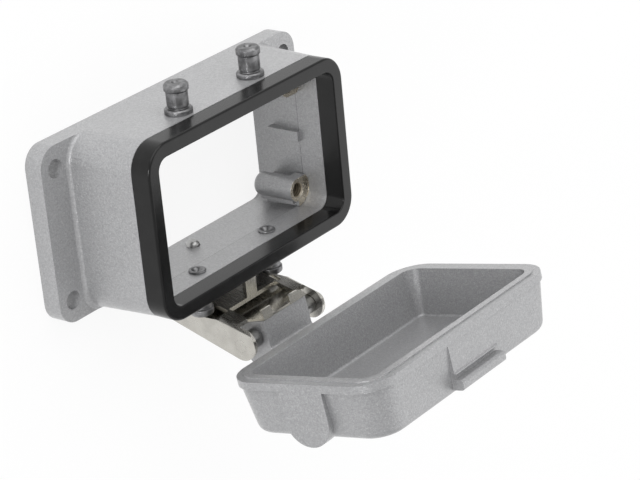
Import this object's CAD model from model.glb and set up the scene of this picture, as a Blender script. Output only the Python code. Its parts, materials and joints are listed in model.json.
import json
import math

import bmesh
import bpy
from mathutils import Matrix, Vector


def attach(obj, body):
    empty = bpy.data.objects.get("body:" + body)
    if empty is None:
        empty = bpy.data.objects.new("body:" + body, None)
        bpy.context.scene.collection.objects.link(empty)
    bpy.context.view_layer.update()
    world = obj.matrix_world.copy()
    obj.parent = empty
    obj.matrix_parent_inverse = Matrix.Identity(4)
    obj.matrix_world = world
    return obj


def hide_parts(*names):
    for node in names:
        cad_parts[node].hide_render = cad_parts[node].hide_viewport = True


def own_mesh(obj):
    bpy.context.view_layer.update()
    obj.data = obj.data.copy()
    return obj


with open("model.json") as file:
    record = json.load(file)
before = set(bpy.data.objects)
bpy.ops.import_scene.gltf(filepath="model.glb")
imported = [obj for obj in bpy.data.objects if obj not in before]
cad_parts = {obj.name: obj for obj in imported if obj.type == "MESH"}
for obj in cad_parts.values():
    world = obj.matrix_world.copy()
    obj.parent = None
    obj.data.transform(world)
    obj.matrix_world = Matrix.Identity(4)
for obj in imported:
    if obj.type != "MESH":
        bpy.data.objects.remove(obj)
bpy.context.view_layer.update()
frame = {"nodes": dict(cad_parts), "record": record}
MM = 0.001

# ---------------------------------------------------------------- housing
# The flange and body are one aluminium pressure die-casting, sprayed with a silver-grey paint
# that dries to a fine hammered skin. The screw holes and the seats of the four bosses are
# machined after casting, so bare metal shows there.


class Value:
    """One value in a finish: sums on it become the finish's Math nodes."""

    def __init__(self, tree, link):
        self.tree, self.link = tree, link

    def maths(self, operation, left, right=None):
        step = self.tree.nodes.new("ShaderNodeMath")
        step.operation = operation
        for socket, side in zip(step.inputs, (left, right)):
            if isinstance(side, Value):
                self.tree.links.new(side.link, socket)
            elif side is not None:
                socket.default_value = side
        return Value(self.tree, step.outputs[0])

    def __add__(self, other):
        return self.maths("ADD", self, other)

    def __sub__(self, other):
        return self.maths("SUBTRACT", self, other)

    def __rsub__(self, other):
        return self.maths("SUBTRACT", other, self)

    def __mul__(self, other):
        return self.maths("MULTIPLY", self, other)

    def __truediv__(self, other):
        return self.maths("DIVIDE", self, other)

    __radd__ = __add__
    __rmul__ = __mul__

    def over(self, edge):
        return self.maths("GREATER_THAN", self, edge)

    def root(self):
        return self.maths("SQRT", self)

    def size(self):
        return self.maths("ABSOLUTE", self)

    def wave(self):
        """0 to 1 and back, once for each 1 in the value."""
        return self.maths("PINGPONG", self, 0.5) * 2

    def fade(self, low, high):
        """0 below low, 1 above high, and a smooth rise between them."""
        step = self.tree.nodes.new("ShaderNodeMapRange")
        step.interpolation_type = "SMOOTHSTEP"
        self.tree.links.new(self.link, step.inputs["Value"])
        step.inputs["From Min"].default_value = low
        step.inputs["From Max"].default_value = high
        return Value(self.tree, step.outputs["Result"])


class Finish:
    """A surface finish, with the place on the part in millimetres to work from."""

    def __init__(self, name, **shader):
        self.material = bpy.data.materials.new(name)
        self.material.use_nodes = True
        self.tree = self.material.node_tree
        self.shader = self.tree.nodes["Principled BSDF"]
        for socket, value in shader.items():
            self.set(socket.replace("_", " "), value)
        place = self.add("ShaderNodeTexCoord", output="Object")
        self.place = self.add(
            "ShaderNodeVectorMath", {"operation": "SCALE"}, {0: place, "Scale": 1000}, "Vector"
        )
        split = self.tree.nodes.new("ShaderNodeSeparateXYZ")
        self.tree.links.new(self.place.link, split.inputs[0])
        self.x, self.y, self.z = (Value(self.tree, out) for out in split.outputs)

    def put(self, socket, value):
        if isinstance(value, Value):
            self.tree.links.new(value.link, socket)
        else:
            socket.default_value = value

    def set(self, socket, value):
        self.put(self.shader.inputs[socket], value)

    def add(self, kind, settings=None, inputs=None, output=0):
        """A node of that kind. Settings go on the node, inputs to its sockets."""
        node = self.tree.nodes.new(kind)
        for key, value in (settings or {}).items():
            setattr(node, key, value)
        for key, value in (inputs or {}).items():
            self.put(node.inputs[key], value)
        return Value(self.tree, node.outputs[output])

    def mix(self, mask, first, second):
        """The first colour where mask is 0, the second where it is 1."""
        return self.add(
            "ShaderNodeMix", {"data_type": "RGBA"}, {0: mask, 6: first, 7: second}, 2
        )

    def noise(self, scale, detail=2.0, rough=0.5, along=None):
        """Even noise with that many grains per millimetre, drawn out along a direction if given."""
        where = self.place
        if along is not None:
            where = self.add(
                "ShaderNodeVectorMath", {"operation": "MULTIPLY"}, {0: where, 1: along}, 0
            )
        return self.add(
            "ShaderNodeTexNoise",
            {"noise_dimensions": "3D"},
            {"Vector": where, "Scale": scale, "Detail": detail, "Roughness": rough},
            "Fac",
        )

    def bump(self, height, depth, strength=1.0):
        """Relief of that depth in millimetres."""
        self.set(
            "Normal",
            self.add(
                "ShaderNodeBump",
                {},
                {"Height": height, "Distance": depth * MM, "Strength": strength},
                "Normal",
            ),
        )


def dressed(node, finish, edge=0.0, angle=32, segments=3, keep=None):
    """A copy of a CAD node with its sharp edges rounded by edge millimetres, in that finish.
    Edges stay sharp where keep(middle), given the edge's middle in millimetres, is true."""
    source = frame["nodes"][node]
    mesh = source.data.copy()
    mesh.name = node + "_dressed"
    shape = bmesh.new()
    shape.from_mesh(mesh)
    weld_gap, flat_angle = 0.002 * MM, 0.6
    bmesh.ops.remove_doubles(shape, verts=shape.verts, dist=weld_gap)
    bmesh.ops.dissolve_degenerate(shape, edges=shape.edges, dist=weld_gap)
    bmesh.ops.dissolve_limit(
        shape,
        angle_limit=math.radians(flat_angle),
        use_dissolve_boundaries=False,
        verts=shape.verts,
        edges=shape.edges,
    )
    weight = shape.edges.layers.float.new("bevel_weight_edge")
    for line in shape.edges:
        sharp = len(line.link_faces) == 2 and line.calc_face_angle() > math.radians(angle)
        middle = (line.verts[0].co + line.verts[1].co) / (2 * MM)
        rounded = edge > 0 and not (keep and keep(middle))
        line[weight] = 1.0 if sharp and rounded else 0.0
        line.smooth = rounded or not sharp
    shape.to_mesh(mesh)
    shape.free()
    piece = bpy.data.objects.new(node + "_dressed", mesh)
    bpy.context.scene.collection.objects.link(piece)
    mesh.materials.clear()
    mesh.materials.append(finish.material)
    for face in mesh.polygons:
        face.use_smooth = True
        face.material_index = 0
    if edge:
        rounding = piece.modifiers.new("rounding", "BEVEL")
        rounding.width = edge * MM
        rounding.segments = segments
        rounding.limit_method = "WEIGHT"
        rounding.use_clamp_overlap = True
        rounding.miter_outer = "MITER_ARC"
        rounding.harden_normals = True
    even = piece.modifiers.new("even", "WEIGHTED_NORMAL")
    even.keep_sharp = True
    even.weight = 60
    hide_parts(node)
    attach(piece, body_names[node])
    return piece


body_names = {
    node: body
    for body, nodes in frame["record"]["behaviour"]["bodies"].items()
    for node in nodes
}


def cast_paint(name, colour, dark):
    """Silver-grey spray paint that dries to a fine hammered skin, which glitters in the light."""
    paint = Finish(name, Metallic=0.3, Coat_Weight=0.9, Coat_Roughness=0.35)
    pebbles = paint.noise(1.7, 2.0, 0.6)
    grain = paint.noise(3.4, 1.0, 0.5)
    cloud = paint.noise(0.09, 3.0, 0.5)
    skin = (pebbles.fade(0.3, 0.7) * 0.6 + grain.fade(0.3, 0.7) * 0.4) * (0.85 + cloud * 0.3)
    specks = paint.noise(3.0, 0.0).fade(0.62, 0.74)
    paint.colour = paint.mix(specks * 0.25, paint.mix(skin, dark, colour), (0.6, 0.6, 0.6, 1))
    paint.gloss = 0.42 - skin * 0.12
    paint.set("Base Color", paint.colour)
    paint.set("Roughness", paint.gloss)
    paint.bump(pebbles + grain * 0.5, 0.12, 0.8)
    return paint


housing_paint = cast_paint(
    "silver_grey_paint", (0.37, 0.371, 0.378, 1), (0.28, 0.281, 0.288, 1)
)

# The boss faces, the ledges beside them and the screw holes are machined after painting.
screws = next(m for m in frame["record"]["mounts"] if m["name"] == "insert_screws")["dims"]
boss_x, boss_y = screws["spacing_x_mm"] / 2, screws["spacing_y_mm"] / 2
boss_top, cutter_r, drill_r, thread_pitch = 16.0, 4.3, 1.95, 0.7
face_slack = 0.06
off_x = housing_paint.x.size() - boss_x
off_y = housing_paint.y.size() - boss_y
from_boss = (off_x * off_x + off_y * off_y).root()
milled = (1 - from_boss.over(cutter_r)) * (1 - (housing_paint.z - boss_top).size().over(face_slack))
tapped = 1 - from_boss.over(drill_r)
rings = (from_boss * 4.0 + housing_paint.noise(0.3) * 2.0).wave()
bare = housing_paint.mix(rings, (0.46, 0.41, 0.32, 1), (0.70, 0.64, 0.52, 1))

# The cavity's rear part is wider by a small step, and a thin shadow line runs round there.
step_z, cavity_x, cavity_y, line_t = 15.0, 32.1, 17.9, 0.24
wall_reach, wall_slack = 0.8, 0.3
out_x, out_y = housing_paint.x.size() - cavity_x, housing_paint.y.size() - cavity_y
in_cavity = (1 - out_x.over(wall_reach)) * (1 - out_y.over(wall_reach))
off_wall = (1 - out_x.over(-wall_slack)) * (1 - out_y.over(-wall_slack))
at_step = 1 - (housing_paint.z - step_z).size().over(line_t / 2)
step_line = in_cavity * (1 - off_wall) * at_step
painted = housing_paint.mix(step_line * 0.8, housing_paint.colour, (0.06, 0.06, 0.06, 1))
thread = housing_paint.mix(
    (housing_paint.z / thread_pitch).wave(), (0.05, 0.04, 0.03, 1), (0.34, 0.29, 0.21, 1)
)
housing_paint.set(
    "Base Color",
    housing_paint.mix(tapped, housing_paint.mix(milled, painted, bare), thread),
)
housing_paint.set("Metallic", 0.3 + milled * 0.7)
housing_paint.set("Roughness", housing_paint.gloss - milled * 0.1)
dressed("housing", housing_paint, edge=0.35)

# ---------------------------------------------------------------- seals
# The front seal is a black rubber profile pushed over the tongue on the body's edge, and the
# panel seal is a flat ring of the same rubber in the groove of the flange's back.

rubber = Finish("black_rubber", Roughness=0.25, Specular_IOR_Level=0.32)
bloom = rubber.noise(0.35, 4.0, 0.6)
pores = rubber.noise(6.0, 1.0)
rubber.set(
    "Base Color", rubber.mix(bloom.fade(0.3, 0.8), (0.003, 0.003, 0.003, 1), (0.007, 0.007, 0.007, 1))
)
rubber.set("Roughness", 0.16 + bloom * 0.12)
rubber.bump(pores, 0.004, 0.4)
dressed("front_seal", rubber, edge=0.3)
dressed("panel_seal", rubber, edge=0.15)

# ---------------------------------------------------------------- pegs
# Four pegs, turned from steel bar and riveted through the long walls. A hood's levers lock
# over their heads. Fine rings from the lathe run round them.

turned = Finish("turned_steel", Metallic=1.0, Roughness=0.3)
rings = turned.noise(1.0, 3.0, 0.6, along=(0.05, 9.0, 0.05))
tarnish = turned.noise(0.6, 3.0)
turned.set(
    "Base Color", turned.mix(tarnish.fade(0.35, 0.7), (0.15, 0.15, 0.153, 1), (0.29, 0.29, 0.295, 1))
)
turned.set("Roughness", 0.32 + rings * 0.16)
turned.bump(rings, 0.012, 0.5)
for peg in ("peg_upper_left", "peg_upper_right", "peg_lower_left", "peg_lower_right"):
    dressed(peg, turned, edge=0.12)

# ---------------------------------------------------------------- hinge bracket
# Stainless sheet, punched and bent to a channel with two round ears, and riveted to the wall.
# The sheet keeps the faint grain of its rolling.

sheet = Finish("stainless_sheet", Metallic=1.0, Roughness=0.3)
grain = sheet.noise(0.8, 2.0, 0.5, along=(6.0, 0.35, 0.35))
stain = sheet.noise(0.25, 3.0)
sheet.set(
    "Base Color", sheet.mix(stain.fade(0.3, 0.7), (0.49, 0.475, 0.44, 1), (0.57, 0.555, 0.515, 1))
)
sheet.set("Roughness", 0.24 + grain * 0.06)
sheet.bump(grain, 0.0005, 0.1)
pin = Vector(frame["record"]["behaviour"]["joints"][0]["pos_m"]) / MM
pin_hole_r = 2.0


def in_pin_hole(middle):
    """True for the edges of the pin's own holes, which its riveted ends fill."""
    return math.hypot(middle.y - pin.y, middle.z - pin.z) < pin_hole_r


dressed("hinge_bracket", sheet, edge=0.18, keep=in_pin_hole)

# ---------------------------------------------------------------- leaf spring
# Hardened stainless strip, clamped under the bracket's web. Its front end lies on the flat of
# the cover's lug and holds the cover open or shut.

strip = Finish("spring_strip", Metallic=1.0, Roughness=0.25)
lines = strip.noise(0.7, 3.0, 0.6, along=(6.0, 0.3, 0.3))
strip.set("Base Color", strip.mix(lines, (0.58, 0.56, 0.50, 1), (0.72, 0.70, 0.64, 1)))
strip.set("Roughness", 0.16 + lines * 0.12)
strip.bump(lines, 0.002, 0.3)
leaf = dressed("leaf_spring", strip, edge=0.12)

# The lug's corner presses the leaf towards the housing as the cover shuts. The clamped foot
# stays where it is.
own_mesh(leaf)

# ---------------------------------------------------------------- rivet, pin and bushes
# The rivet clamps leaf and bracket to the wall, the pin is fixed in the bracket's ears, and
# the two bushes on it keep the lug in the middle.

plain_steel = Finish("plain_steel", Metallic=1.0, Roughness=0.34)
dull = plain_steel.noise(0.5, 4.0)
plain_steel.set(
    "Base Color", plain_steel.mix(dull, (0.32, 0.32, 0.32, 1), (0.52, 0.52, 0.51, 1))
)
plain_steel.set("Roughness", 0.26 + dull * 0.2)
dark_steel = Finish("bush_steel", Metallic=1.0, Roughness=0.34)
wear = dark_steel.noise(0.8, 3.0, 0.5, along=(6.0, 1.0, 1.0))
dark_steel.set("Base Color", dark_steel.mix(wear, (0.20, 0.20, 0.20, 1), (0.34, 0.34, 0.33, 1)))
dark_steel.set("Roughness", 0.24 + wear * 0.18)
dressed("bracket_rivet", plain_steel, edge=0.12)
dressed("hinge_pin", sheet)
for bush in ("bush_left", "bush_right"):
    dressed(bush, dark_steel, edge=0.2)

# ---------------------------------------------------------------- cover
# The cover is a second die-casting in the same paint, with the lug, its arm, the catch and
# the end bosses cast on. It turns on the pin.

cover_paint = cast_paint("cover_paint", (0.335, 0.336, 0.343, 1), (0.255, 0.256, 0.263, 1))
dressed("cover", cover_paint, edge=0.3)

# ---------------------------------------------------------------- stage
# A pale floor on which the flange lies, soft lamps, and the camera. Part of the floor's look
# is its own glow, so the ground shows white and still keeps the part's shadow.

white = bpy.data.materials.new("pale_floor")
white.use_nodes = True
nodes, links = white.node_tree.nodes, white.node_tree.links
matt = nodes["Principled BSDF"]
matt.inputs["Base Color"].default_value = (0.9, 0.9, 0.9, 1)
matt.inputs["Roughness"].default_value = 0.9
glow = nodes.new("ShaderNodeEmission")
seen = nodes.new("ShaderNodeLightPath")
share = nodes.new("ShaderNodeMath")
share.operation = "MULTIPLY_ADD"
glow_share = 0.88
share.inputs[1].default_value = glow_share
both = nodes.new("ShaderNodeMixShader")
links.new(seen.outputs["Is Camera Ray"], share.inputs[0])
links.new(seen.outputs["Is Glossy Ray"], share.inputs[2])
links.new(share.outputs[0], both.inputs[0])
links.new(matt.outputs[0], both.inputs[1])
links.new(glow.outputs[0], both.inputs[2])
links.new(both.outputs[0], nodes["Material Output"].inputs["Surface"])
floor_mesh = bpy.data.meshes.new("floor")
reach = 6.0
floor_mesh.from_pydata(
    [(-reach, -reach, 0), (reach, -reach, 0), (reach, reach, 0), (-reach, reach, 0)],
    [],
    [(0, 1, 2, 3)],
)
floor_mesh.materials.append(white)
floor = bpy.data.objects.new("floor", floor_mesh)
bpy.context.scene.collection.objects.link(floor)

world = bpy.data.worlds.new("studio")
bpy.context.scene.world = world
world.use_nodes = True
sky = world.node_tree.nodes["Background"]
sky.inputs["Color"].default_value = (1, 1, 1, 1)
seen = world.node_tree.nodes.new("ShaderNodeLightPath")
level = world.node_tree.nodes.new("ShaderNodeMix")
light_level, seen_level = 0.7, 1.0
level.inputs[2].default_value = light_level
level.inputs[3].default_value = seen_level
world.node_tree.links.new(seen.outputs["Is Camera Ray"], level.inputs[0])
world.node_tree.links.new(level.outputs[0], sky.inputs["Strength"])


part_middle = Vector((0, -0.01, 0.03))


def lamp(name, place, size, power):
    """A square soft lamp that looks at the middle of the part."""
    data = bpy.data.lights.new(name, "AREA")
    data.size, data.energy = size, power
    light = bpy.data.objects.new(name, data)
    light.location = place
    light.rotation_mode = "QUATERNION"
    light.rotation_quaternion = (part_middle - light.location).to_track_quat("-Z", "Y")
    bpy.context.scene.collection.objects.link(light)


lamp("over", (-0.15, 0.9, 0.35), 1.3, 8.0)
lamp("left", (-0.9, 0.1, 0.25), 0.2, 2.6)
lamp("front", (0.6, -0.3, 0.7), 1.2, 3.0)

camera_data = bpy.data.cameras.new("camera")
camera_data.lens = 140.77
camera_data.sensor_width = 36
camera_data.clip_start, camera_data.clip_end = 0.01, 50
camera = bpy.data.objects.new("camera", camera_data)
camera.location = (-0.40877, 0.21280, 0.37411)
camera.rotation_euler = [math.radians(a) for a in (-16.422, -52.95, -8.353)]
bpy.context.scene.collection.objects.link(camera)
bpy.context.scene.camera = camera
bpy.context.scene.view_settings.view_transform = "Standard"
